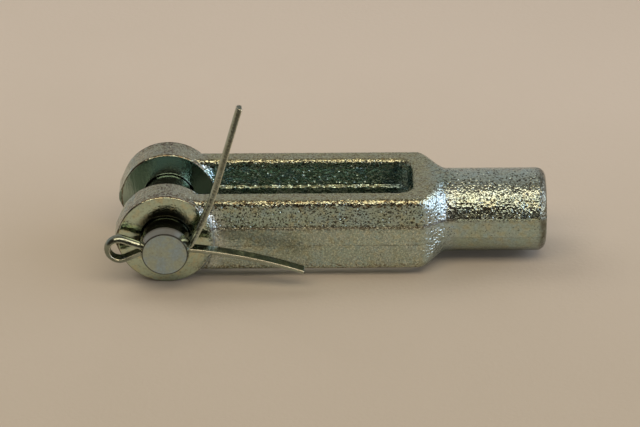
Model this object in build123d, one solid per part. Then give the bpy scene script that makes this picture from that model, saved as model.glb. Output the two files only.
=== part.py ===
from build123d import *
import os
from math import acos, asin, atan2, cos, degrees, hypot, radians, sin, sqrt, tan

# Clevis rod end: a forged fork with a threaded barrel, a headed clevis pin across its two
# ears, and a split cotter pin that keeps the clevis pin in.
# Millimetres. The origin is the middle of the pin bore, +X runs along the barrel to its
# mouth, Y is the pin bore's axis with the pin head on the +Y side, and +Z is up.

# ---- Fork forging ----
overall_width = 22.2        # across the machined outer faces of the two ears
jaw_width = 11.1            # between the machined inner faces of the two ears
ear_diameter = 17.9         # round eye at the end of each arm
bore_to_mouth = 71.0        # from the pin bore's axis to the barrel's end face
slot_depth = 45.6           # from the pin bore's axis to the closed end of the slot
slot_corner_radius = 2.8    # plan radius in the slot's two closed corners
ear_rise = 1.65             # how far each eye stands above and below its arm
outer_pad = 0.65            # how far an ear's outer face stands out from the arm
inner_pad = 0.4             # how far its inner face stands in from the arm
draft_angle = 2.5           # degrees, of the forged walls away from the parting plane
arm_edge_radius = 1.2       # along the outer edges of the arms
slot_edge_radius = 0.9      # along the inner edges of the arms
eye_blend_radius = 4.0      # hollow corner where the round eye runs into the arm
ear_edge_chamfer = 0.2      # broken edges of the machined faces

# ---- Neck and barrel ----
barrel_diameter = 15.6
barrel_end_radius = 1.7     # rounded rim at the mouth
neck_land = 0.08            # between the slot's rounded rim and the start of the neck
neck_length = 5.6           # over which the square fork turns into the round barrel
neck_stations = 8           # steps that the neck is lofted through
seam_angle = 3              # degrees, half the width of each flat's end on the barrel
thread_diameter = 9.53      # major diameter of the 3/8-24 thread, down in its roots
mouth_chamfer = 0.4         # of the mouth, beyond the thread's major radius

# ---- Trimmed flash at the parting plane ----
flash_height = 3.7          # width of the trimmed band, half above and half below
flash_proud = 0.06          # how far it stands out of the forged walls
ear_ridge = 0.5             # how far the flash stands out at the front of each round eye
ear_ridge_height = 1.2      # width of the trimmed flat along that ridge

# ---- Clevis pin ----
pin_diameter = 9.41
pin_clearance = 0.095       # radial, between the pin and the bore
pin_sag = 0.05              # the pin lies this far below the bore's axis
cotter_standoff = 2.76      # from the near ear's face to the cotter hole's axis
head_overhang = 1.645       # radial, of the head beyond the pin
head_height = 3.05
head_chamfer = 0.5          # broken rim of the head
head_gap = 0.2              # between the head and the far ear
point_taper = 0.5           # radial, lost by the pin towards its flat end
point_length = 1.9
cotter_hole_setback = 2.84  # from the pin's flat end to the hole's axis
cotter_hole_chamfer = 0.25

# ---- Cotter pin, bent open ----
cotter_diameter = 2.16      # of the two half-round legs laid together
leg_gap = 0.06              # between their flat sides in the hole
cotter_clearance = 0.45     # radial, between the closed legs and their hole
eye_opening = 3.6           # clear height inside the eye
eye_reach = 5.57            # from the pin's surface to the far inside of the eye
eye_neck_radius = 2.0       # where each leg turns out into the eye
cotter_dip = 2.5            # degrees, the eye hangs below the hole's axis
cotter_swing = 1.5          # degrees, the eye swings in towards the ear
eye_flare_depth = 1.15      # inside the pin, where the legs start to part towards the eye
leg_bend_depth = 0.5        # inside the pin, where the bent legs start to part
raised_leg_lean = 5.5       # degrees, the raised leg leans back over the fork
raised_leg_radius = 1.2     # first tight bend of the leg that is turned up
raised_leg_slope = 59.0     # degrees, after that bend
raised_leg_curve = 13.8     # length over which it straightens up
raised_tip_slope = 71.5     # degrees, from there on
raised_leg_straight = 14.8  # from there to the tip
low_leg_radius = 9.0        # first bend of the leg left along the arm
low_leg_slope = 8.5         # degrees, after that bend
low_leg_curve = 20.7        # length over which it goes on curving, to its tip
low_tip_slope = 21.5        # degrees, at the tip

# ---- Worked out ----
ear_radius = ear_diameter / 2
arm_half_height = ear_radius - ear_rise
arm_half_width = overall_width / 2 - outer_pad
slot_half_width = jaw_width / 2 + inner_pad
barrel_radius = barrel_diameter / 2
arm_draft = arm_half_height * tan(radians(draft_angle))
arm_top = arm_half_width - slot_half_width - 2 * arm_draft
rim_share = min(1, 0.9 * arm_top / (arm_edge_radius + slot_edge_radius))
outer_rim = arm_edge_radius * rim_share
inner_rim = slot_edge_radius * rim_share
neck_start = slot_depth + arm_draft + inner_rim + neck_land
neck_end = neck_start + neck_length
pin_radius = pin_diameter / 2
bore_radius = pin_radius + pin_clearance
head_underside = overall_width / 2 + head_gap
cotter_axis_y = -overall_width / 2 - cotter_standoff
pin_end = cotter_axis_y - cotter_hole_setback
cotter_hole_radius = (cotter_diameter + leg_gap) / 2 + cotter_clearance
thread_radius = thread_diameter / 2
past_all = 2 * overall_width


def mix(start, end, share):
    return start + (end - start) * share


def neck_share(share):
    """How far the neck has turned into the barrel, level at both ends."""
    return share * share * (3 - 2 * share)


def heading_vector(angle, length):
    return length * cos(radians(angle)), length * sin(radians(angle))


# ---------------------------------------------------------------- fork forging


def arm_profile():
    """Arms seen along Y, from their start inside the round eyes to the neck."""
    reach = ear_radius + eye_blend_radius
    blend_z = arm_half_height + eye_blend_radius
    blend_x = sqrt(reach**2 - blend_z**2)
    touch_x, touch_z = (along * ear_radius / reach for along in (blend_x, blend_z))
    turn = atan2(blend_x, blend_z) / 2
    mid_x = blend_x - eye_blend_radius * sin(turn)
    mid_z = blend_z - eye_blend_radius * cos(turn)
    upper = ThreePointArc((touch_x, touch_z), (mid_x, mid_z), (blend_x, arm_half_height))
    lower = ThreePointArc((blend_x, -arm_half_height), (mid_x, -mid_z), (touch_x, -touch_z))
    straight = Polyline(
        upper @ 1, (neck_start, arm_half_height), (neck_start, -arm_half_height), lower @ 0
    )
    return Plane.XZ * make_face(upper + straight + lower + Line(lower @ 1, upper @ 0))


def drafted_section(half_width, half_height):
    loss = half_height * tan(radians(draft_angle))
    return Polygon(
        (half_width, 0),
        (half_width - loss, half_height),
        (loss - half_width, half_height),
        (-half_width, 0),
        (loss - half_width, -half_height),
        (half_width - loss, -half_height),
        align=None,
    )


def runs_along_arm(edge):
    """True for the edges where a forged wall meets the top or bottom of the arms."""
    start, middle, end = edge @ 0, edge @ 0.5, edge @ 1
    off_parting = min(abs(start.Z), abs(middle.Z), abs(end.Z)) > arm_half_height - 1
    return off_parting and abs(start.X - end.X) > 0.5


def slot_cutter(half_width, end, draft):
    """Blind slot open towards -X, widening up and down from the parting plane."""
    gain = ear_radius * tan(radians(draft))
    across = Polygon(
        (half_width, 0),
        (half_width + gain, ear_radius),
        (-half_width - gain, ear_radius),
        (-half_width, 0),
        align=None,
    )
    along = Polygon(
        (-past_all, 0), (end, 0), (end + gain, ear_radius), (-past_all, ear_radius), align=None
    )
    upper = extrude(Plane.YZ * across, end + past_all, both=True)
    upper &= extrude(Plane.XZ * along, past_all, both=True)
    corners = [
        edge
        for edge in upper.edges()
        if edge.center().X > 0 and abs((edge @ 0).Z - (edge @ 1).Z) > ear_radius / 2
    ]
    upper = fillet(corners, slot_corner_radius)
    return upper + mirror(upper, Plane.XY)


def arms():
    bar = extrude(
        Plane.YZ * drafted_section(arm_half_width, ear_radius), neck_start, dir=(1, 0, 0)
    )
    block = bar & extrude(arm_profile(), past_all, both=True)
    block = fillet([edge for edge in block.edges() if runs_along_arm(edge)], outer_rim)
    open_block = block - slot_cutter(slot_half_width, slot_depth, draft_angle)
    inner = [
        edge
        for edge in open_block.edges()
        if abs(edge.center().Y) < arm_half_width - arm_draft - outer_rim - 0.01
        and min(abs((edge @ 0).Z), abs((edge @ 1).Z)) > arm_half_height - 0.01
        and ear_radius / 2 < edge.center().X < slot_depth + 2 * arm_draft
    ]
    return fillet(inner, inner_rim)


def neck_outline(share):
    """Cross-section of the neck: the fork's rounded square at 0, the barrel's circle at 1."""
    half_width = mix(arm_half_width, barrel_radius, share)
    half_height = mix(arm_half_height, barrel_radius, share)
    radius = mix(outer_rim, barrel_radius, share)
    loss = mix(arm_draft, 0, share)
    lean = atan2(loss, half_height)
    run = min(radius * tan((radians(90) - lean) / 2), half_height)
    low = (half_width - loss + run * sin(lean), half_height - run * cos(lean))
    high = (half_width - loss - run, half_height)
    aim = (radians(90) + lean) / 2
    bulge = (high[0] + radius * cos(aim), half_height - radius + radius * sin(aim))
    edges = []
    for flip_y, flip_z in ((1, 1), (-1, 1), (-1, -1), (1, -1)):
        side, wall, middle, top = (
            (y * flip_y, z * flip_z) for y, z in ((half_width, 0), low, bulge, high)
        )
        edges += [Line(side, wall), ThreePointArc(wall, middle, top)]
    edges.append(Line((high[0], half_height), (-high[0], half_height)))
    edges.append(Line((high[0], -half_height), (-high[0], -half_height)))
    return make_face(edges)


def barrel_outline():
    """Circle of the barrel, split where the walls and corners of the neck run into it."""
    stops = [0]
    for quarter in (90, 270):
        stops += [quarter - 90 + seam_angle, quarter - seam_angle, quarter + seam_angle]
        stops += [quarter + 90 - seam_angle, quarter + 90]
    arcs = []
    for first, last in zip(stops, stops[1:]):
        rim = [heading_vector(at, barrel_radius) for at in (first, (first + last) / 2, last)]
        arcs.append(ThreePointArc(*rim))
    return make_face(arcs)


def neck_and_barrel():
    sections = []
    for step in range(neck_stations):
        share = step / neck_stations
        station = Plane.YZ.offset(mix(neck_start, neck_end, share))
        sections.append(station * neck_outline(neck_share(share)))
    neck = loft(sections + [Plane.YZ.offset(neck_end) * barrel_outline()])
    tube = extrude(Plane.YZ.offset(neck_end) * Circle(barrel_radius), bore_to_mouth - neck_end)
    rim = tube.edges().filter_by(GeomType.CIRCLE).sort_by(Axis.X)[-1]
    return neck + fillet(rim, barrel_end_radius)


def ears():
    """The two round eyes, machined flat inside and out."""
    outer_face = Plane.XZ.offset(-overall_width / 2)
    disc = extrude(outer_face * Circle(ear_radius), (overall_width - jaw_width) / 2)
    rims = disc.edges().filter_by(GeomType.CIRCLE)
    disc = chamfer(rims, ear_edge_chamfer)
    return disc + mirror(disc, Plane.XZ)


def side_curve():
    """Plan points of the forging's side at the parting plane, from the arm to the barrel."""
    points = []
    for step in range(2 * neck_stations + 1):
        share = step / (2 * neck_stations)
        half = mix(arm_half_width, barrel_radius, neck_share(share)) + flash_proud
        points.append((mix(neck_start, neck_end, share), half))
    return points


def plan_outline():
    """Half plan of arm, neck and barrel, standing out from them by the flash."""
    half_arm = arm_half_width + flash_proud
    half_barrel = barrel_radius + flash_proud
    rim_x = bore_to_mouth - barrel_end_radius
    rim_y = half_barrel - barrel_end_radius
    corner = barrel_end_radius * cos(radians(45))
    outline = [
        Line((0, 0), (0, half_arm)),
        Line((0, half_arm), (neck_start, half_arm)),
        Spline(*side_curve(), tangents=((1, 0), (1, 0))),
        Line((neck_end, half_barrel), (rim_x, half_barrel)),
        ThreePointArc(
            (rim_x, half_barrel), (rim_x + corner, rim_y + corner), (bore_to_mouth, rim_y)
        ),
        Line((bore_to_mouth, rim_y), (bore_to_mouth, 0)),
        Line((bore_to_mouth, 0), (0, 0)),
    ]
    return make_face(outline)


def ridge_outline():
    """Flash at the front of a round eye, seen along Y, with both sides tangent to the eye."""
    front = ear_radius + ear_ridge
    half = ear_ridge_height / 2
    touch = radians(180) - acos(ear_radius / hypot(front, half)) - atan2(half, front)
    touch_x, touch_z = ear_radius * cos(touch), ear_radius * sin(touch)
    return Polygon(
        (0, 0), (touch_x, touch_z), (-front, half), (-front, -half), (touch_x, -touch_z), align=None
    )


def flash_band():
    """Low band left round the forging where its flash was trimmed off."""
    half_plan = plan_outline()
    plate = extrude(half_plan + mirror(half_plan, Plane.XZ), flash_height / 2, both=True)
    slot = slot_cutter(slot_half_width - flash_proud, slot_depth - flash_proud, 0)
    start = jaw_width / 2 + ear_edge_chamfer
    length = (overall_width - jaw_width) / 2 - 2 * ear_edge_chamfer
    ring = extrude(Plane.XZ.offset(-start) * Circle(ear_radius + flash_proud), -length)
    ring = ring & Box(past_all, past_all, flash_height)
    ring += extrude(Plane.XZ.offset(-start) * ridge_outline(), -length)
    return (plate - slot) + ring + mirror(ring, Plane.XZ)


def pin_bore():
    """Bore through both ears with its edges broken at all four machined faces."""
    inner = jaw_width / 2
    outer = overall_width / 2
    wide = bore_radius + ear_edge_chamfer
    quarter = Polyline(
        (0, 0),
        (wide, 0),
        (wide, inner),
        (bore_radius, inner + ear_edge_chamfer),
        (bore_radius, outer - ear_edge_chamfer),
        (wide, outer),
        (wide, outer + 1),
        (0, outer + 1),
        (0, 0),
    )
    half = revolve(make_face(quarter), Axis.Y)
    return half + mirror(half, Plane.XZ)


def threaded_hole():
    """Thread bore from the mouth through into the slot, with the mouth's chamfer."""
    inside = slot_depth - slot_corner_radius
    past_mouth = bore_to_mouth + 1
    half = Polyline(
        (inside, 0),
        (inside, thread_radius),
        (bore_to_mouth - mouth_chamfer, thread_radius),
        (bore_to_mouth, thread_radius + mouth_chamfer),
        (past_mouth, thread_radius + mouth_chamfer),
        (past_mouth, 0),
        (inside, 0),
    )
    return revolve(make_face(half), Axis.X)


def clevis_body():
    forging = arms() + neck_and_barrel() + ears() + flash_band()
    return forging - pin_bore() - threaded_hole()


# ---------------------------------------------------------------- clevis pin


def clevis_pin():
    head_top = head_underside + head_height
    head_edge = pin_radius + head_overhang
    half = Polyline(
        (0, head_top),
        (0, pin_end),
        (pin_radius - point_taper, pin_end),
        (pin_radius, pin_end + point_length),
        (pin_radius, head_underside),
        (head_edge, head_underside),
        (head_edge, head_top - head_chamfer),
        (head_edge - head_chamfer, head_top),
        (0, head_top),
    )
    pin = revolve(make_face(half), Axis.Y)
    hole = extrude(Plane.YZ * Circle(cotter_hole_radius), pin_diameter, both=True)
    pin = pin - Pos(0, cotter_axis_y, 0) * hole
    mouths = pin.edges().filter_by(GeomType.BSPLINE)
    return Pos(0, 0, -pin_sag) * chamfer(mouths, cotter_hole_chamfer)


# ---------------------------------------------------------------- cotter pin


def straight(edges, point, angle, length):
    """Add a straight to the wire path and return its end."""
    run, rise = heading_vector(angle, length)
    end = (point[0] + run, point[1] + rise)
    edges.append(Line(point, end))
    return end


def bend(edges, point, start_angle, end_angle, radius):
    """Add an arc that turns from one heading to another and return its end."""
    side = 1 if end_angle > start_angle else -1
    out_x, out_z = heading_vector(start_angle - 90 * side, radius)
    centre = (point[0] - out_x, point[1] - out_z)
    stops = []
    for angle in ((start_angle + end_angle) / 2, end_angle):
        arm_x, arm_z = heading_vector(angle - 90 * side, radius)
        stops.append((centre[0] + arm_x, centre[1] + arm_z))
    edges.append(ThreePointArc(point, *stops))
    return stops[1]


def raised_path():
    """Flat side of the leg that is turned up, from inside the pin to its tip."""
    curve_radius = raised_leg_curve / radians(raised_tip_slope - raised_leg_slope)
    edges = []
    at = bend(edges, (pin_radius - leg_bend_depth, 0), 0, raised_leg_slope, raised_leg_radius)
    at = bend(edges, at, raised_leg_slope, raised_tip_slope, curve_radius)
    straight(edges, at, raised_tip_slope, raised_leg_straight)
    return Pos(0, 0, leg_gap / 2) * Rot(-raised_leg_lean, 0, 0) * (Plane.XZ * Wire(edges))


def eye_path():
    """Flat side of the wire from the raised leg's root round the eye to the low leg's tip."""
    flat_z = leg_gap / 2
    root_x = pin_radius - leg_bend_depth
    neck_x = pin_radius - eye_flare_depth
    eye_radius = eye_opening / 2
    run = eye_reach + eye_flare_depth - eye_radius
    rise = eye_neck_radius + flat_z
    both = eye_neck_radius + eye_radius
    flare = degrees(asin(both / hypot(run, rise)) - atan2(rise, run))
    tangent = sqrt(run**2 + rise**2 - both**2)
    low_radius = low_leg_curve / radians(low_tip_slope - low_leg_slope)
    edges = [Line((root_x, flat_z), (-neck_x, flat_z))]
    at = bend(edges, (-neck_x, flat_z), 180, 180 - flare, eye_neck_radius)
    at = straight(edges, at, 180 - flare, tangent)
    at = bend(edges, at, 180 - flare, 360 + flare, eye_radius)
    at = straight(edges, at, 360 + flare, tangent)
    at = bend(edges, at, 360 + flare, 360, eye_neck_radius)
    at = straight(edges, at, 0, root_x + neck_x)
    at = bend(edges, at, 0, -low_leg_slope, low_leg_radius)
    bend(edges, at, -low_leg_slope, -low_tip_slope, low_radius)
    return Plane.XZ * Wire(edges)


def half_round_wire(path, across):
    """Half-round wire whose flat side follows the path, with its round side up at the start."""
    radius = cotter_diameter / 2
    section_plane = Plane(path @ 0, x_dir=across, z_dir=path % 0)
    half_round = make_face(
        [
            ThreePointArc((-radius, 0), (0, radius), (radius, 0)),
            Line((radius, 0), (-radius, 0)),
        ]
    )
    return sweep(section_plane * half_round, path)


def cotter_pin():
    wire = half_round_wire(raised_path(), (0, 1, 0)) + half_round_wire(eye_path(), (0, -1, 0))
    tilt = Rot(0, -cotter_dip, 0) * Rot(0, 0, -cotter_swing)
    return Pos(0, cotter_axis_y, -pin_sag) * tilt * wire


os.makedirs("parts", exist_ok=True)
export_step(clevis_body(), "parts/clevis_body.step")
export_step(clevis_pin(), "parts/clevis_pin.step")
export_step(cotter_pin(), "parts/cotter_pin.step")
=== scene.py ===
"""Looks of the clevis rod end: zinc plated forging, turned pin and bright split pin on a table.

The world is in metres, in the frame of the CAD: origin in the middle of the pin bore, +X along
the barrel to its mouth, +Y along the pin to its head, +Z up. Sizes, regions and patches below
are in millimetres, and so are the coordinates in the materials' node graphs.
"""

import math
from collections import namedtuple

import bpy
from mathutils import Matrix, Vector


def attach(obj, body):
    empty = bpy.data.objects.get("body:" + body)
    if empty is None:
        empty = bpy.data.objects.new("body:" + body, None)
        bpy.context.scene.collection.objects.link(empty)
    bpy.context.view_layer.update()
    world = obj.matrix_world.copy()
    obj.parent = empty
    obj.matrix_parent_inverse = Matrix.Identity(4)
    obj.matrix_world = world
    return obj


MM = 0.001

# ---------------------------------------------------------------- sizes of the CAD

EAR_RADIUS = 8.95
EAR_FACE = 11.1  # outer machined faces, from the middle plane
JAW_FACE = 5.55  # inner machined faces, from the middle plane
FLASH_HALF = 1.85  # half the height of the trimmed band at the parting plane
SLOT_END = 45.6
MOUTH_X = 71.0
MOUTH_CHAMFER = 0.4
THREAD_ROOT = 4.765
PIN_RADIUS = 4.705
PIN_SAG = 0.05  # the pin's axis lies this far below the bore's
PIN_END = -16.7  # the flat end, on the cotter's side
HEAD_TOP = 14.35  # the outer face of the pin's head
POINT_RADIUS = 4.205  # of the flat end, inside its cone

# The thread's ridges are in this script only: 3/8-24.
THREAD_CREST = 4.23
THREAD_PITCH = 25.4 / 24
THREAD_STEPS_PER_TURN = 72
THREAD_START = SLOT_END + 0.9  # clear of the slot's rounded end
THREAD_END = MOUTH_X - MOUTH_CHAMFER - 0.15  # just inside the mouth's chamfer
RIDGE_FOOT = THREAD_ROOT - 0.004  # just clear of the bore's wall
RIDGE_FOOT_HALF = 0.46 * THREAD_PITCH
RIDGE_CREST_HALF = 0.07 * THREAD_PITCH
RIDGE_LEAD_TURNS = 0.6  # over which the ridge rises at each end
RIDGE_LOWEST = 0.02  # share of its height that is left at its ends

# Marks that tools left, as noise that is stretched along them: scale per millimetre.
CUTTER_REACH = 34.0  # from the pin's axis back to the middle of the cutter's arcs
CUTTER_MARKS = 3.2
CUTTER_MARKS_IN_DEPTH = 0.2
SHANK_RINGS = 5.0
FLAT_RINGS = 4.0
DRAWN_LINES = (0.4, 7.0, 0.4)

# ---------------------------------------------------------------- camera, lights and room

# Worked out from the photograph. The camera's place is given from the middle of the bore: back
# along its line of sight, and to its own right and down.
PHOTO_WIDTH_PX = 640.0
FOCAL_PX = 3450.0
SENSOR_WIDTH = 36.0
CAMERA_DISTANCE = 649.7
CAMERA_RIGHT = 28.64
CAMERA_DOWN = 0.49
CAMERA_RISE = 28.8  # degrees above the horizon
CAMERA_ROLL = 0.36  # degrees
CLIP_M = (0.01, 20.0)

LAMPS_AIM = (0.03, 0.0, 0.0)
# Name, place and size in metres, power in watts, colour, and whether the metal mirrors it.
LAMPS = (
    ("key", (0.03, -0.48, 0.78), (1.30, 0.38), 4.6, (1.0, 0.83, 0.62), True),
    ("window", (0.95, -0.12, 0.30), (1.40, 0.58), 6.0, (0.80, 0.84, 1.0), True),
    ("fill", (-0.50, 0.30, 0.80), (0.60, 0.60), 2.2, (1.0, 0.93, 0.84), False),
)

# Colours of the room from the horizon (0) to straight up (1), on three of its sides, and the
# part of a direction's y or x over which one side gives way to the next.
WALL_BEHIND = (
    (0.0, (0.44, 0.42, 0.40)),
    (0.6, (0.43, 0.41, 0.39)),
    (0.90, (0.41, 0.38, 0.35)),
    (0.98, (0.18, 0.15, 0.11)),
    (1.0, (0.17, 0.14, 0.10)),
)
DARK_FRONT = ((0.0, (0.07, 0.055, 0.04)), (0.6, (0.04, 0.032, 0.024)), (1.0, (0.17, 0.14, 0.10)))
PALE_RIGHT = ((0.0, (0.40, 0.40, 0.42)), (0.6, (0.46, 0.46, 0.49)), (1.0, (0.27, 0.24, 0.21)))
FRONT_TO_BACK = (-0.25, 0.45)
MIDDLE_TO_RIGHT = (0.35, 0.85)

TABLE_HALF_M = 6.0
TABLE_FADE = (-70.0, 95.0)  # from its front colour to its back colour: a painted falloff of the light
TABLE_MOTTLE = 0.5
TABLE_MOTTLE_SCALE = 0.012

# ---------------------------------------------------------------- where the materials change

RAGGED_BY = 3.0  # how far noise moves the bound of a ragged region

# Each region is the product of its parts. A part is another region's name, or a coordinate with
# the value where the region has faded to 0 and the value where it is a full 1.
REGIONS = {
    # The machined surfaces.
    "in_ear": (("from_pin", EAR_RADIUS + 0.12, EAR_RADIUS + 0.02),),
    "outer_plane": (("away_y", EAR_FACE - 0.12, EAR_FACE - 0.04),),
    "inner_face": (("away_y", JAW_FACE + 0.14, JAW_FACE + 0.05), "in_ear"),
    "pin_bore": (("from_pin", PIN_RADIUS + 0.35, PIN_RADIUS + 0.25),),
    "rod_bore": (
        ("from_barrel_axis", THREAD_ROOT + 0.08, THREAD_ROOT + 0.02),
        ("x", SLOT_END - 2.0, SLOT_END - 1.0),
    ),
    "mouth": (("x", MOUTH_X - 0.12, MOUTH_X - 0.04),),
    # The ears: their rims, tops, and the foot where each one runs into its arm.
    "rim": (("from_pin", EAR_RADIUS - 0.3, EAR_RADIUS - 0.15),),
    "outer_rim_depth": (("away_y", EAR_FACE - 0.4, EAR_FACE - 0.25),),
    "inner_rim": ("rim", ("away_y", JAW_FACE + 0.4, JAW_FACE + 0.25), "in_ear"),
    "near_bore": (("from_pin", PIN_RADIUS + 2.2, PIN_RADIUS + 0.7), ("z", -1.0, 3.0)),
    "ear_top": (("from_pin", EAR_RADIUS + 1.5, EAR_RADIUS + 0.3),),
    "ear_summit": (("away_z", EAR_RADIUS - 0.6, EAR_RADIUS - 0.2), ("away_x", 2.2, 0.4)),
    "foot_side": (("away_z", 6.9, 6.0), ("x", 0.0, 3.0)),
    "foot": (("from_pin", EAR_RADIUS + 1.3, EAR_RADIUS - 1.2),),
    "foot_in_face": ("foot_side", ("from_pin", EAR_RADIUS - 1.3, EAR_RADIUS - 0.4)),
    "foot_on_arm": (
        "foot_side",
        ("from_pin", EAR_RADIUS - 0.6, EAR_RADIUS),
        ("from_pin", EAR_RADIUS + 3.5, EAR_RADIUS + 1.0),
    ),
    "foot_wall": (  # the small step from the machined face to the arm
        "foot_side",
        ("off_ear_outline", 0.35, 0.1),
        ("away_y", JAW_FACE + 1.0, JAW_FACE + 1.5),
    ),
    # The arms.
    "on_arms": (("x", SLOT_END + 4.0, SLOT_END + 1.0),),
    "past_ears": (("from_pin", EAR_RADIUS + 0.5, EAR_RADIUS + 2.0),),
    "on_top": (("away_z", 6.4, 7.2),),
    "dusty_top": ("on_top", ("x", SLOT_END + 6.0, SLOT_END + 2.0)),
    "upper": (("z", FLASH_HALF - 0.2, FLASH_HALF + 0.4),),
    "flash": (("away_z", FLASH_HALF + 0.08, FLASH_HALF - 0.08),),
    "seam": (("off_parting", 0.75, 0.2),),
    "crack": (("off_parting", 0.2, 0.1), ("x", SLOT_END + 9.0, SLOT_END + 7.5)),
    "lower_seam": (("off_lower_parting", 0.3, 0.12), "on_arms"),
    "outer_edge": (("away_z", 5.6, 6.2), ("away_y", 9.2, 9.6), "on_arms"),
    "low_side": (("z", 2.4, 1.8), "on_arms", ("away_y", 8.0, 9.0)),
    "beside_cotter": (  # the arm's side by the cotter's low leg
        ("z", 2.3, 1.6),
        ("away_y", 9.6, 10.2),
        ("x", EAR_RADIUS, EAR_RADIUS + 2.0),
        ("x", 44.0, 34.0),
    ),
    # The slot.
    "in_slot": (
        ("away_y", JAW_FACE + 0.9, JAW_FACE + 0.6),
        ("away_z", 6.0, 5.2),
        ("x", SLOT_END + 0.6, SLOT_END),
    ),
    "slot_ridge": (
        "in_slot",
        ("away_z", 2.3, 1.4),
        ("from_pin", EAR_RADIUS + 0.5, EAR_RADIUS + 1.5),
    ),
    "slot_burr": ("in_slot", ("off_either_parting", 0.7, 0.3)),
    "slot_low": ("in_slot", ("z", 1.5, 1.0)),
    "slot_back": ("in_slot", ("ragged_x", SLOT_END - 4.2, SLOT_END - 1.0)),
    # The neck and the barrel.
    "shoulder": (("x", SLOT_END + 1.5, SLOT_END + 3.5), ("x", SLOT_END + 9.0, SLOT_END + 7.5)),
    "shoulder_side": ("shoulder", ("away_z", 7.0, 6.0)),
    "shoulder_low": ("shoulder", ("z", 2.5, 0.0)),
    "barrel_top": (("x", SLOT_END + 7.0, SLOT_END + 9.0), ("z", 5.0, 6.5)),
    "barrel_low": (("z", -2.5, -7.0), ("x", SLOT_END + 5.0, SLOT_END + 9.0)),
    "barrel_rim": (("x", MOUTH_X - 2.0, MOUTH_X - 0.8),),
    "thread_root": (("from_barrel_axis", THREAD_CREST + 0.08, THREAD_ROOT - 0.1),),
    # The clevis pin.
    "end_face": (("y", PIN_END + 0.08, PIN_END + 0.02),),
    "head_face": (("y", HEAD_TOP - 0.07, HEAD_TOP - 0.02),),
    "end_cone": (
        ("y", PIN_END + 2.0, PIN_END + 1.7),
        ("from_pin_axis", POINT_RADIUS - 0.1, POINT_RADIUS + 0.05),
    ),
    "end_edge": (("off_point", 0.22, 0.1), ("y", PIN_END + 0.3, PIN_END + 0.15)),
    "shank_outside": (
        ("y", 0.3 - EAR_FACE, 0.1 - EAR_FACE),
        ("from_pin_axis", PIN_RADIUS - 0.15, PIN_RADIUS - 0.05),
    ),
    "cone_on_arm_side": (("x", 1.5, 3.5),),
    # The cotter pin.
    "low_leg_flat": (("normal_z", 0.7, 0.85), ("x", 4.0, 5.0)),
    "eye": (("x", -5.6, -7.0),),
    "eye_low": (("z", 1.5, -1.0),),
    # The table's front, out of the picture.
    "far_front": (("y", -75.0, -150.0),),
}

# Patches of noise: scale per millimetre, the values where a patch has faded to 0 and is a full
# 1, and the noise's settings. A shift keeps two patches of like scale from lying on each other.
Patch = namedtuple("Patch", "scale nothing whole detail rough shift", defaults=(3.0, 0.55, None))
PATCHES = {
    "uneven_depth": Patch(0.2, 0.38, 0.6, detail=2.0),
    "torn": Patch(1.1, 0.36, 0.56, rough=0.6),
    "tone": Patch(0.13, 0.36, 0.64),
    "hue": Patch(0.3, 0.4, 0.66, detail=2.0, shift=(9, 3, 27)),
    "tan": Patch(0.75, 0.5, 0.66, shift=(61, 3, 17)),
    "blue": Patch(0.6, 0.5, 0.66, shift=(13, 71, 5)),
    "speckle": Patch(2.8, 0.62, 0.36, detail=2.0, shift=(23, 19, 83)),
    "burr": Patch(1.9, 0.64, 0.5, rough=0.7),
    "stain": Patch(2.8, 0.5, 0.6, rough=0.7),
    "grime": Patch(2.4, 0.46, 0.58, rough=0.7),
    "lower_grime": Patch(0.5, 0.4, 0.6),
    "worn": Patch(2.0, 0.48, 0.6, detail=2.0),
    "rim_shade_patch": Patch(0.8, 0.35, 0.6, detail=4.0),
    "summit_rust": Patch(2.0, 0.47, 0.6, rough=0.7),
    "grit": Patch(3.6, 0.56, 0.4, detail=2.0, shift=(2, 37, 53)),
    "glint": Patch(3.3, 0.5, 0.66, detail=2.0, shift=(43, 13, 3)),
    "broken": Patch(1.4, 0.34, 0.5),
    "face_stain": Patch(0.7, 0.44, 0.64, detail=5.0, rough=0.65),
    "freckle": Patch(2.3, 0.5, 0.68, rough=0.7, shift=(17, 91, 29)),
    "cluster": Patch(0.35, 0.48, 0.66, detail=2.0),
    "speck": Patch(3.2, 0.56, 0.68, rough=0.7),
    "pin_tone": Patch(0.45, 0.36, 0.62, detail=4.0, rough=0.6),
    "matt_spots": Patch(2.6, 0.64, 0.4, rough=0.65),
    "wire_tone": Patch(0.5, 0.4, 0.62),
}

# ---------------------------------------------------------------- colours

RUST_SPECK = (0.14, 0.10, 0.055)

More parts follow.
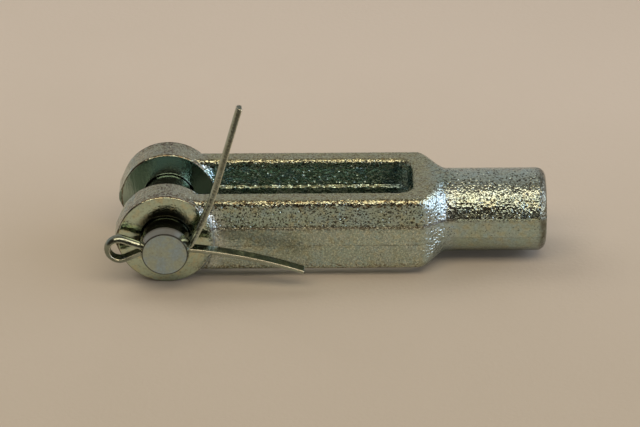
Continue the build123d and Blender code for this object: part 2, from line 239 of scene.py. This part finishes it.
# Coats are laid over each other in this order. Each row is a colour, how much of it, and the
# regions and patches it keeps to. A colour or an amount written (share, a, b) goes from a to b
# as that share goes from 0 to 1.
PLATE_TONE = ("tone", (0.47, 0.56, 0.46), (0.46, 0.59, 0.53))
FORGED_COATS = (
    ((0.49, 0.58, 0.57), 0.5, "hue"),
    ((0.54, 0.54, 0.35), 0.6, "tan"),
    ((0.42, 0.58, 0.60), 0.75, "blue"),
    # Painted highlight: the shoulder's sides get a lighter, bluer colour.
    ((0.56, 0.68, 0.74), ("upper", 0.4, 0.6), "shoulder_side"),
    # Painted highlight: a pale bluish colour where each ear's foot runs into its arm, outside
    # the slot.
    ((0.72, 0.79, 0.80), ("in_slot", 0.7, 0.0), "foot_on_arm"),
    ((0.22, 0.25, 0.18), ("on_top", 0.4, 0.5), "speckle"),
    # Painted shade: the barrel's underside is darkened.
    ((0.20, 0.22, 0.15), 0.8, "barrel_low"),
    # Painted light: the barrel's top gets a lighter colour.
    ((0.64, 0.74, 0.68), 0.45, "barrel_top"),
    # Painted light: a lighter, greener colour inside the slot, for the light bounced between its
    # walls.
    (("blue", (0.66, 0.86, 0.73), (0.57, 0.81, 0.90)), 1.0, "in_slot"),
    ((0.11, 0.11, 0.05), 0.85, "slot_burr", "burr"),
    # Painted shade: the slot's walls are darker at their foot.
    ((0.13, 0.17, 0.14), 0.75, "slot_low"),
    # Painted shade: the far end of the slot is darker, with a ragged bound.
    ((0.14, 0.25, 0.30), 0.6, "slot_back"),
    # Painted shade in the hollows of the grain, strongest on the upper half.
    ((0.07, 0.06, 0.04), "pit_shade_amount", "hollow"),
    (("past_ears", (0.54, 0.51, 0.36), (0.53, 0.50, 0.27)), 0.55, "dusty_top"),
    ((0.19, 0.15, 0.09), ("ear_top", 0.7, 0.4), "dusty_top", "stain"),
    ((0.06, 0.045, 0.03), ("on_arms", 0.5, 0.9), "seam", "grime", "out_of_slot"),
    ((0.09, 0.07, 0.05), 0.75, "crack", "out_of_slot"),
    ((0.12, 0.10, 0.07), 0.4, "lower_seam", "lower_grime"),
    ((0.14, 0.095, 0.045), 0.8, "outer_edge", "worn"),
    # Painted shade: the rim at the barrel's mouth is darkened in patches, dimming the window's
    # highlight there.
    ((0.13, 0.125, 0.09), ("rim_shade_patch", 0.65, 0.95), "barrel_rim"),
    ((0.09, 0.05, 0.035), 0.9, "ear_summit", "summit_rust"),
    ((0.22, 0.21, 0.13), 0.4, "low_side", "grit"),
    ((0.78, 0.83, 0.68), 0.7, "low_side", "glint"),
    (RUST_SPECK, ("upper", 0.12, 0.5), "cluster", "speck"),
    ((0.13, 0.075, 0.035), 0.85, "rim", "outer_rim_depth", "clear_of_foot", "broken"),
)
# Painted shade: the jaws' inner faces have a darker tone than the outer faces.
JAW_FACE_TONE = (0.40, 0.51, 0.45)
EAR_FACE_TONE = ("face_stain", (0.50, 0.61, 0.49), (0.56, 0.56, 0.38))
FACE_COATS = (
    ((0.24, 0.22, 0.15), 0.5, "freckle", "outer_face"),
    # Painted shade and dark reflection on the outer face round the top of the bore.
    ((0.05, 0.05, 0.035), "bore_shade_amount", "near_bore", "outer_face"),
)
JAW_RIM_COATS = (((0.13, 0.09, 0.045), 0.85, "inner_rim", "broken"),)

SHANK_TONE = ("pin_tone", (0.40, 0.44, 0.38), (0.45, 0.51, 0.47))
# Painted shade: the shank's end outside the ear is darkened.
SHANK_COATS = (((0.12, 0.12, 0.09), 0.8, "shank_outside"),)
END_TONE = ("pin_tone", (0.47, 0.54, 0.45), (0.40, 0.52, 0.58))
END_COATS = (((0.30, 0.31, 0.25), 0.3, "matt_spots"),)
PIN_COATS = (
    # Painted shade: the end's cone is darkened, except on its side toward the arms, where the
    # window's highlight falls.
    ((0.24, 0.21, 0.17), ("cone_on_arm_side", 0.6, 0.1), "end_cone"),
    # Painted shade: a dark line round the edge of the flat end.
    ((0.05, 0.045, 0.035), 0.9, "end_edge"),
    (RUST_SPECK, ("end_face", 0.5, 0.6), "cluster", "speck"),
)

WIRE_TONE = ("wire_tone", (0.38, 0.42, 0.34), (0.42, 0.49, 0.43))
WIRE_COATS = (
    # Painted shade: the upward flat of the cotter's low leg is darkened.
    ((0.08, 0.10, 0.06), 0.75, "low_leg_flat"),
    # Painted shade: the cotter's eye is darkened, more towards its bottom.
    ((0.10, 0.12, 0.09), ("eye_low", 0.3, 0.6), "eye"),
    (RUST_SPECK, 0.4, "cluster", "speck"),
)
# Partly polished wear, partly painted highlight: a pale cream colour along the wire's sharp
# edges.
WIRE_EDGE = (0.95, 0.92, 0.72)

THREAD_CREST_TONES = ((0.52, 0.52, 0.43), (0.62, 0.63, 0.55))
# Painted shade: the thread's roots are darkened.
THREAD_COATS = (((0.10, 0.095, 0.07), 0.85, "thread_root"),)

# Painted falloff of the light: the table's front is darker and warmer than its back.
TABLE_FRONT = (0.515, 0.465, 0.38)
TABLE_BACK = (0.645, 0.585, 0.505)
# Painted shade: the far front is dark only in the metal's reflections.
TABLE_COATS = (((0.05, 0.04, 0.03), 0.85, "far_front", "mirrored"),)

# ---------------------------------------------------------------- roughness

# A pair is the range that a noise moves it through.
BLASTED_ROUGH = (0.1, 0.17)
BESIDE_COTTER_ROUGH = 0.32  # more matt, or the cotter's low leg shows as a smudge there
FOOT_WALL_ROUGH = 0.45  # more matt, or the small step mirrors the dark as a black line
MACHINED_ROUGH = (0.07, 0.13)
SHANK_ROUGH = (0.08, 0.13)
PIN_END_ROUGH = (0.42, 0.56)
WIRE_ROUGH = (0.08, 0.16)
WIRE_EDGE_ROUGH = 0.3
THREAD_ROUGH = (0.25, 0.4)
TABLE_ROUGH = 0.65
TABLE_SPECULAR = 0.3

BEVEL_SAMPLES = 6
EDGE_COSINES = (0.97, 0.86)  # between a face's normal and the bevel's, off an edge and on it

# ---------------------------------------------------------------- node graphs

# What the regions are bounded by: each is made from the surface's place in the CAD's frame.
COORDINATES = {
    "x": lambda g: g.x,
    "y": lambda g: g.y,
    "z": lambda g: g.z,
    "away_x": lambda g: g.math("ABSOLUTE", g.x),
    "away_y": lambda g: g.math("ABSOLUTE", g.y),
    "away_z": lambda g: g.math("ABSOLUTE", g.z),
    "from_pin": lambda g: g.radius(g.x, g.z),
    "from_barrel_axis": lambda g: g.radius(g.y, g.z),
    "from_pin_axis": lambda g: g.radius(g.x, g.math("ADD", g.z, PIN_SAG)),
    "off_point": lambda g: g.distance(g.coordinate("from_pin_axis"), POINT_RADIUS),
    "off_ear_outline": lambda g: g.distance(g.coordinate("from_pin"), EAR_RADIUS),
    "off_parting": lambda g: g.distance(g.z, FLASH_HALF),
    "off_lower_parting": lambda g: g.distance(g.z, -FLASH_HALF),
    "off_either_parting": lambda g: g.distance(g.coordinate("away_z"), FLASH_HALF),
    "ragged_x": lambda g: g.math("ADD", g.x, g.product(g.noise(0.5, detail=2.0), RAGGED_BY)),
    "normal_z": lambda g: g.split(g.coords["Normal"])[2],
}


class Graph:
    """One material's nodes. Values are sockets, constants, or names of shares made on demand."""

    def __init__(self, name):
        self.material = bpy.data.materials.new(name)
        self.material.use_nodes = True
        self.tree = self.material.node_tree
        self.tree.nodes.clear()
        output = self.new("ShaderNodeOutputMaterial")
        self.shader = self.new("ShaderNodeBsdfPrincipled")
        self.tree.links.new(self.shader.outputs[0], output.inputs[0])
        self.coords = self.new("ShaderNodeTexCoord").outputs
        self.at = self.vector("SCALE", self.coords["Object"], scale=1 / MM)
        self.x, self.y, self.z = self.split(self.at)
        self.made = {}

    def new(self, kind, **settings):
        node = self.tree.nodes.new(kind)
        for name, value in settings.items():
            setattr(node, name, value)
        return node

    def link(self, value, socket):
        if isinstance(value, str):
            value = self.share(value)
        if isinstance(value, bpy.types.NodeSocket):
            self.tree.links.new(value, socket)
        else:
            socket.default_value = value

    def set(self, **values):
        """Feeds the shader's inputs, with _ for the spaces in their names."""
        for name, value in values.items():
            self.link(value, self.shader.inputs[name.replace("_", " ")])

    # Named shares and coordinates

    def keep(self, name, value):
        self.made[name] = value

    def share(self, name):
        """Socket of a region, a patch or a kept share."""
        if name not in self.made:
            if name in REGIONS:
                self.keep(name, self.region(*REGIONS[name]))
            else:
                patch = PATCHES[name]
                field = self.noise(patch.scale, patch.detail, patch.rough, shift=patch.shift)
                self.keep(name, self.step(field, patch.nothing, patch.whole))
        return self.made[name]

    def region(self, *parts):
        bounds = []
        for part in parts:
            if not isinstance(part, str):
                coordinate, nothing, whole = part
                part = self.step(self.coordinate(coordinate), nothing, whole)
            bounds.append(part)
        return self.product(*bounds)

    def coordinate(self, name):
        if name not in self.made:
            self.keep(name, COORDINATES[name](self))
        return self.made[name]

    # Arithmetic

    def math(self, operation, first, *others):
        """A one-input operation, or a two-input one that takes in the values one by one."""
        result = first
        for value in others or (None,):
            node = self.new("ShaderNodeMath", operation=operation)
            self.link(result, node.inputs[0])
            if value is not None:
                self.link(value, node.inputs[1])
            result = node.outputs[0]
        return result

    def product(self, *shares):
        return shares[0] if len(shares) == 1 else self.math("MULTIPLY", *shares)

    def rest(self, share):
        """What the share leaves of 1."""
        return self.math("SUBTRACT", 1.0, share)

    def distance(self, value, middle):
        return self.math("ABSOLUTE", self.math("SUBTRACT", value, middle))

    def radius(self, a, b):
        squares = [self.math("MULTIPLY", side, side) for side in (a, b)]
        return self.math("SQRT", self.math("ADD", *squares))

    def vector(self, operation, *values, scale=None, output="Vector"):
        node = self.new("ShaderNodeVectorMath", operation=operation)
        for value, socket in zip(values, node.inputs):
            self.link(value, socket)
        if scale is not None:
            self.link(scale, node.inputs["Scale"])
        return node.outputs[output]

    def split(self, value):
        node = self.new("ShaderNodeSeparateXYZ")
        self.link(value, node.inputs[0])
        return list(node.outputs)

    def combine(self, x, y, z):
        node = self.new("ShaderNodeCombineXYZ")
        for value, socket in zip((x, y, z), node.inputs):
            self.link(value, socket)
        return node.outputs[0]

    def step(self, value, nothing, whole):
        """0 at nothing, 1 at whole and smooth between them, whichever of the two is higher."""
        node = self.new("ShaderNodeMapRange", interpolation_type="SMOOTHSTEP")
        self.link(value, node.inputs["Value"])
        self.link(min(nothing, whole), node.inputs["From Min"])
        self.link(max(nothing, whole), node.inputs["From Max"])
        self.link(float(nothing > whole), node.inputs["To Min"])
        self.link(float(nothing < whole), node.inputs["To Max"])
        return node.outputs["Result"]

    def mix(self, share, a, b):
        """Number that goes from a to b as the share goes from 0 to 1."""
        part_of_a = self.math("MULTIPLY", self.rest(share), a)
        return self.math("ADD", part_of_a, self.math("MULTIPLY", share, b))

    def tint(self, share, a, b):
        """Colour that goes from a to b as the share goes from 0 to 1."""
        node = self.new("ShaderNodeMix", data_type="RGBA")
        self.link(share, node.inputs[0])
        for colour, socket in ((a, node.inputs[6]), (b, node.inputs[7])):
            constant = isinstance(colour, tuple)
            self.link((*colour, 1.0) if constant else colour, socket)
        return node.outputs[2]

    def coats(self, base, rows):
        """The base colour under a table of coats."""
        for colour, amount, *places in rows:
            if isinstance(colour[0], str):
                colour = self.tint(*colour)
            if isinstance(amount, tuple):
                amount = self.mix(*amount)
            base = self.tint(self.product(*places, amount), base, colour)
        return base

    # Textures and relief

    def placed(self, at, shift):
        """Where a texture is read: on the surface, unless it is shifted or read elsewhere."""
        if shift is not None:
            return self.vector("ADD", self.at, shift)
        return self.at if at is None else at

    def noise(self, scale, detail=3.0, rough=0.55, at=None, shift=None):
        node = self.new("ShaderNodeTexNoise")
        self.link(self.placed(at, shift), node.inputs["Vector"])
        self.link(scale, node.inputs["Scale"])
        self.link(detail, node.inputs["Detail"])
        self.link(rough, node.inputs["Roughness"])
        return node.outputs["Fac"]

    def cells(self, scale, smooth, shift=None):
        node = self.new("ShaderNodeTexVoronoi", feature="SMOOTH_F1")
        self.link(self.placed(None, shift), node.inputs["Vector"])
        self.link(scale, node.inputs["Scale"])
        self.link(smooth, node.inputs["Smoothness"])
        return node.outputs["Distance"]

    def bump(self, height, depth_mm, strength=1.0, over=None):
        """Normal of a relief this deep, over another relief's normal."""
        node = self.new("ShaderNodeBump")
        self.link(depth_mm * MM, node.inputs["Distance"])
        self.link(strength, node.inputs["Strength"])
        self.link(height, node.inputs["Height"])
        if over is not None:
            self.link(over, node.inputs["Normal"])
        return node.outputs[0]

    def bevel(self, radius_mm):
        """Normal that rounds the sharp edges by this radius."""
        node = self.new("ShaderNodeBevel", samples=BEVEL_SAMPLES)
        self.link(radius_mm * MM, node.inputs["Radius"])
        return node.outputs[0]

    def sharp_edges(self, radius_mm):
        """1 along sharp edges, 0 on the faces between them."""
        facing = self.new("ShaderNodeNewGeometry").outputs["Normal"]
        cosine = self.vector("DOT_PRODUCT", self.bevel(radius_mm), facing, output="Value")
        return self.step(cosine, *EDGE_COSINES)


# ---------------------------------------------------------------- materials


def keep_forging_shares(g):
    """Shares of the forging that aren't a plain product of bounds."""
    g.keep("outer_face", g.product("outer_plane", g.rest("foot_in_face")))
    surfaces = ("outer_face", "inner_face", "pin_bore", "rod_bore", "mouth")
    g.keep("machined", g.math("MAXIMUM", *surfaces))
    g.keep("forged", g.rest("machined"))
    g.keep("out_of_slot", g.rest("in_slot"))
    g.keep("clear_of_foot", g.rest("foot_side"))
    g.keep("bore_shade_amount", g.mix(g.noise(1.7), 0.7, 1.0))

    # Blasted grain: rounded pits with finer grit over them. Its hollows get painted shade.
    pits = g.cells(2.0, smooth=0.2)
    coarse = g.noise(2.15, detail=1.0, rough=0.5, shift=(31, 7, 11))
    fine = g.noise(3.8, detail=1.0, shift=(5, 47, 23))
    layers = ((pits, 0.45), (coarse, 0.9), (fine, 0.25))
    g.keep("grain", g.math("ADD", *(g.math("MULTIPLY", *layer) for layer in layers)))
    g.keep("hollow", g.step("grain", 0.76, 0.6))
    g.keep("pit_shade_amount", g.mix("in_slot", g.mix("upper", 0.15, 0.9), 0.5))


def forging_relief(g):
    """Normal of the forging: its small fillets and torn flash, the grain, and cutter marks."""
    soft = g.bevel(0.25)
    forged_foot = g.product("foot_side", "forged")
    filleted = g.bump("foot", depth_mm=1.0, strength=forged_foot, over=soft)
    torn = g.product(g.mix("torn", 0.45, 1.0), "forged")
    ridged = g.bump("slot_ridge", depth_mm=0.6, strength=torn, over=filleted)

    # The grain is deepest at the ears' foot and under the shoulder, and shallower below the
    # upper half and in the slot; the machined outer faces keep a tenth of it.
    grain_depth = g.product(
        g.mix("uneven_depth", 0.8, 1.0),
        g.mix("upper", g.mix("flash", 0.8, 0.65), 1.0),
        g.mix("in_slot", 1.0, 0.7),
        g.mix(g.product("foot_side", "foot"), 1.0, 1.6),
        g.mix("shoulder_low", 1.0, 2.0),
        "forged",
    )
    grain_depth = g.math("ADD", grain_depth, g.math("MULTIPLY", "outer_face", 0.1))
    blasted = g.bump("grain", depth_mm=0.2, strength=grain_depth, over=ridged)

    nicks = g.step(g.cells(1.25, smooth=0.0, shift=(3.7, 1.9, 8.3)), 0.08, 0.3)
    nicked_part = g.product("upper", "forged")
    nicked = g.bump(nicks, depth_mm=0.08, strength=nicked_part, over=blasted)
    uneven = g.bump(g.noise(0.3, detail=2.0), depth_mm=0.3, strength="forged", over=nicked)

    # Cutter marks: fine arcs about a point far behind the ears.
    sweep = g.radius(g.math("ADD", g.x, CUTTER_REACH), g.z)
    across = g.math("MULTIPLY", sweep, CUTTER_MARKS)
    in_depth = g.math("MULTIPLY", g.y, CUTTER_MARKS_IN_DEPTH)
    marks = g.noise(1.0, detail=4.0, rough=0.75, at=g.combine(across, in_depth, 0.0))
    return g.bump(marks, depth_mm=0.018, strength="machined", over=uneven)


def forging_material():
    """Shot-blasted forging under zinc plate, smooth where its ears were machined."""
    g = Graph("zinc_forging")
    keep_forging_shares(g)
    plate = g.coats(g.tint(*PLATE_TONE), FORGED_COATS)
    clean = g.tint("outer_face", JAW_FACE_TONE, g.tint(*EAR_FACE_TONE))
    body = g.tint("machined", plate, g.coats(clean, FACE_COATS))

    blasted = g.mix(g.noise(0.9), *BLASTED_ROUGH)
    blasted = g.mix("beside_cotter", blasted, BESIDE_COTTER_ROUGH)
    blasted = g.mix("foot_wall", blasted, FOOT_WALL_ROUGH)
    g.set(
        Base_Color=g.coats(body, JAW_RIM_COATS),
        Metallic=1.0,
        Roughness=g.mix("machined", blasted, g.mix(g.noise(0.7), *MACHINED_ROUGH)),
        Normal=forging_relief(g),
    )
    return g.material


def pin_material():
    """Turned pin under zinc plate, with a matt flat end."""
    g = Graph("zinc_turned_pin")
    shank = g.coats(g.tint(*SHANK_TONE), SHANK_COATS)
    end = g.coats(g.tint(*END_TONE), END_COATS)
    base = g.tint("end_face", shank, end)

    # Turning marks: rings along the shank, and round the axis on the two flat faces.
    flat = g.math("MAXIMUM", "end_face", "head_face")
    on_shank = g.math("MULTIPLY", g.y, SHANK_RINGS)
    on_flat = g.math("MULTIPLY", g.coordinate("from_pin_axis"), FLAT_RINGS)
    rings = g.noise(1.0, rough=0.65, at=g.combine(g.mix(flat, on_shank, on_flat), 0.0, 0.0))
    turned = g.bump(rings, depth_mm=0.008, over=g.bevel(0.12))
    dints = g.noise(1.6)
    bright = g.mix(g.noise(1.1, detail=2.0), *SHANK_ROUGH)
    matt = g.mix(g.noise(1.2), *PIN_END_ROUGH)
    g.set(
        Base_Color=g.coats(base, PIN_COATS),
        Metallic=1.0,
        Roughness=g.mix("end_face", bright, matt),
        Normal=g.bump(dints, depth_mm=0.03, strength=g.mix("end_face", 0.5, 1.0), over=turned),
    )
    return g.material


def cotter_material():
    """Bright plated half-round wire with faint drawing lines, and bright edges that are partly
    polished wear and partly painted highlight.
    """
    g = Graph("bright_cotter")
    sides = zip((g.x, g.y, g.z), DRAWN_LINES)
    stretched = g.combine(*(g.math("MULTIPLY", side, scale) for side, scale in sides))
    lines = g.noise(1.0, detail=2.0, at=stretched)
    drawn = g.bump(lines, depth_mm=0.01, over=g.bevel(0.45))
    edges = g.sharp_edges(0.3)
    g.set(
        Base_Color=g.tint(edges, g.coats(g.tint(*WIRE_TONE), WIRE_COATS), WIRE_EDGE),
        Metallic=1.0,
        Roughness=g.mix(edges, g.mix(g.noise(1.4, detail=2.0), *WIRE_ROUGH), WIRE_EDGE_ROUGH),
        Normal=g.bump(g.noise(1.8, detail=2.0), depth_mm=0.04, over=drawn),
    )
    return g.material


def thread_material():
    """Cut thread in the barrel: bright crests, and roots darkened as painted shade."""
    g = Graph("zinc_thread")
    g.set(
        Base_Color=g.coats(g.tint(g.noise(0.6), *THREAD_CREST_TONES), THREAD_COATS),
        Metallic=1.0,
        Roughness=g.mix(g.noise(2.0), *THREAD_ROUGH),
        Normal=g.bump(g.noise(6.0), depth_mm=0.02),
    )
    return g.material


def table_material():
    """Plain pale table top, slightly warmer and darker towards the front as a painted falloff of
    the light.
    """
    g = Graph("plain_table")
    cloud = g.math("SUBTRACT", g.noise(TABLE_MOTTLE_SCALE, detail=4.0), 0.5)
    away = g.math("ADD", g.step(g.y, *TABLE_FADE), g.math("MULTIPLY", cloud, TABLE_MOTTLE))
    # Painted reflection: the far front is dark only for glossy rays, so the metal mirrors a dark
    # front.
    g.keep("mirrored", g.new("ShaderNodeLightPath").outputs["Is Glossy Ray"])
    g.set(
        Base_Color=g.coats(g.tint(away, TABLE_FRONT, TABLE_BACK), TABLE_COATS),
        Roughness=TABLE_ROUGH,
        Specular_IOR_Level=TABLE_SPECULAR,
        Normal=g.bump(g.noise(1.2, detail=4.0), depth_mm=0.05),
    )
    return g.material


# ---------------------------------------------------------------- pieces


def link_object(name, data):
    piece = bpy.data.objects.new(name, data)
    bpy.context.scene.collection.objects.link(piece)
    return piece


def thread_ridges():
    """Helical ridge inside the barrel, from its foot on the bore's wall to its crest."""
    turns = (THREAD_END - THREAD_START) / THREAD_PITCH - 1
    steps = int(turns * THREAD_STEPS_PER_TURN)
    lead_steps = RIDGE_LEAD_TURNS * THREAD_STEPS_PER_TURN
    profile = (
        (-RIDGE_FOOT_HALF, RIDGE_FOOT),
        (-RIDGE_CREST_HALF, THREAD_CREST),
        (RIDGE_CREST_HALF, THREAD_CREST),
        (RIDGE_FOOT_HALF, RIDGE_FOOT),
    )
    points = []
    for index in range(steps + 1):
        angle = math.tau * index / THREAD_STEPS_PER_TURN
        middle = THREAD_START + THREAD_PITCH * (0.5 + index / THREAD_STEPS_PER_TURN)
        height = min(1.0, index / lead_steps, (steps - index) / lead_steps)
        for along, radius in profile:
            reach = RIDGE_FOOT - (RIDGE_FOOT - radius) * max(height, RIDGE_LOWEST)
            points.append((
                (middle + along) * MM,
                reach * math.cos(angle) * MM,
                reach * math.sin(angle) * MM,
            ))
    width = len(profile)
    faces = [
        (corner, corner + 1, corner + 1 + width, corner + width)
        for row in range(0, steps * width, width)
        for corner in range(row, row + width - 1)
    ]
    mesh = bpy.data.meshes.new("barrel_thread")
    mesh.from_pydata(points, [], faces)
    mesh.update()
    mesh.materials.append(thread_material())
    for face in mesh.polygons:
        face.use_smooth = False
    return link_object("barrel_thread", mesh)


def table():
    """Square table top under the ears, which reach lower than the arms and the barrel."""
    z = -EAR_RADIUS * MM
    half = TABLE_HALF_M
    corners = [(-half, -half, z), (half, -half, z), (half, half, z), (-half, half, z)]
    mesh = bpy.data.meshes.new("table")
    mesh.from_pydata(corners, [], [(0, 1, 2, 3)])
    mesh.materials.append(table_material())
    return link_object("table", mesh)


# ---------------------------------------------------------------- light and camera


def lamp(name, place, size, power, colour, mirrored):
    """Rectangular area light aimed at the fork; one that isn't mirrored only adds soft light."""
    data = bpy.data.lights.new(name, "AREA")
    data.shape = "RECTANGLE"
    data.size, data.size_y = size
    data.energy = power
    data.color = colour
    light = link_object(name, data)
    light.location = place
    light.visible_glossy = mirrored
    aim = Vector(LAMPS_AIM) - Vector(place)
    light.rotation_euler = aim.to_track_quat("-Z", "Y").to_euler()


def room():
    """Dim soft room: grey wall behind, dark side in front, cooler and lighter to the right."""
    world = bpy.data.worlds.new("room")
    bpy.context.scene.world = world
    world.use_nodes = True
    tree = world.node_tree
    tree.nodes.clear()

    def node(kind, *inputs, **settings):
        made = tree.nodes.new(kind)
        for name, value in settings.items():
            setattr(made, name, value)
        for slot, value in enumerate(inputs):
            if isinstance(value, bpy.types.NodeSocket):
                tree.links.new(value, made.inputs[slot])
            else:
                made.inputs[slot].default_value = value
        return made

    def ramp(value, stops):
        made = node("ShaderNodeValToRGB", value)
        points = made.color_ramp.elements
        for point, (position, colour) in zip(points, (stops[0], stops[-1])):
            point.position, point.color = position, (*colour, 1.0)
        for position, colour in stops[1:-1]:
            points.new(position).color = (*colour, 1.0)
        return made.outputs[0]

    def blend(value, span, first, second):
        made = node("ShaderNodeMix", data_type="RGBA")
        amount = node("ShaderNodeMapRange", value, *span, interpolation_type="SMOOTHSTEP")
        tree.links.new(amount.outputs[0], made.inputs[0])
        tree.links.new(first, made.inputs[6])
        tree.links.new(second, made.inputs[7])
        return made.outputs[2]

    direction = node("ShaderNodeTexCoord").outputs["Generated"]
    x, y, z = node("ShaderNodeSeparateXYZ", direction).outputs
    colour = blend(y, FRONT_TO_BACK, ramp(z, DARK_FRONT), ramp(z, WALL_BEHIND))
    colour = blend(x, MIDDLE_TO_RIGHT, colour, ramp(z, PALE_RIGHT))
    glow = node("ShaderNodeBackground", colour, 1.0)
    tree.links.new(glow.outputs[0], node("ShaderNodeOutputWorld").inputs[0])


def camera():
    """Long lens in front of the fork, looking down on it."""
    rise, roll = math.radians(CAMERA_RISE), math.radians(CAMERA_ROLL)
    forward = Vector((0.0, math.cos(rise), -math.sin(rise)))
    level = Vector((1.0, 0.0, 0.0))
    down = Vector((0.0, -math.sin(rise), -math.cos(rise)))
    right = level * math.cos(roll) + down * math.sin(roll)
    low = down * math.cos(roll) - level * math.sin(roll)
    place = CAMERA_RIGHT * right + CAMERA_DOWN * low - CAMERA_DISTANCE * forward
    turn = Matrix((right, -low, -forward)).transposed().to_4x4()
    data = bpy.data.cameras.new("camera")
    data.sensor_width = SENSOR_WIDTH
    data.lens = FOCAL_PX * SENSOR_WIDTH / PHOTO_WIDTH_PX
    data.clip_start, data.clip_end = CLIP_M
    view = link_object("camera", data)
    view.matrix_world = Matrix.Translation(place * MM) @ turn
    bpy.context.scene.camera = view


# ---------------------------------------------------------------- scene

FINISHES = {
    "clevis_body": forging_material,
    "clevis_pin": pin_material,
    "cotter_pin": cotter_material,
}

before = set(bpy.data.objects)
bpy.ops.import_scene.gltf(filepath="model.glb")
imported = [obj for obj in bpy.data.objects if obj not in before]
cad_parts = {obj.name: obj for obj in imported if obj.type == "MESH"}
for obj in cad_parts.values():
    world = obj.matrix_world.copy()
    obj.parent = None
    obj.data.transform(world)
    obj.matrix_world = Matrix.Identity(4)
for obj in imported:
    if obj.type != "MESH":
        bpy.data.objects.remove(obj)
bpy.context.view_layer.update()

bpy.context.scene.view_settings.view_transform = "Standard"
camera()
room()
for row in LAMPS:
    lamp(*row)
top = table()

for node, finish in FINISHES.items():
    material = finish()
    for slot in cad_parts[node].material_slots:
        slot.material = material

thread = thread_ridges()
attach(thread, "yoke")
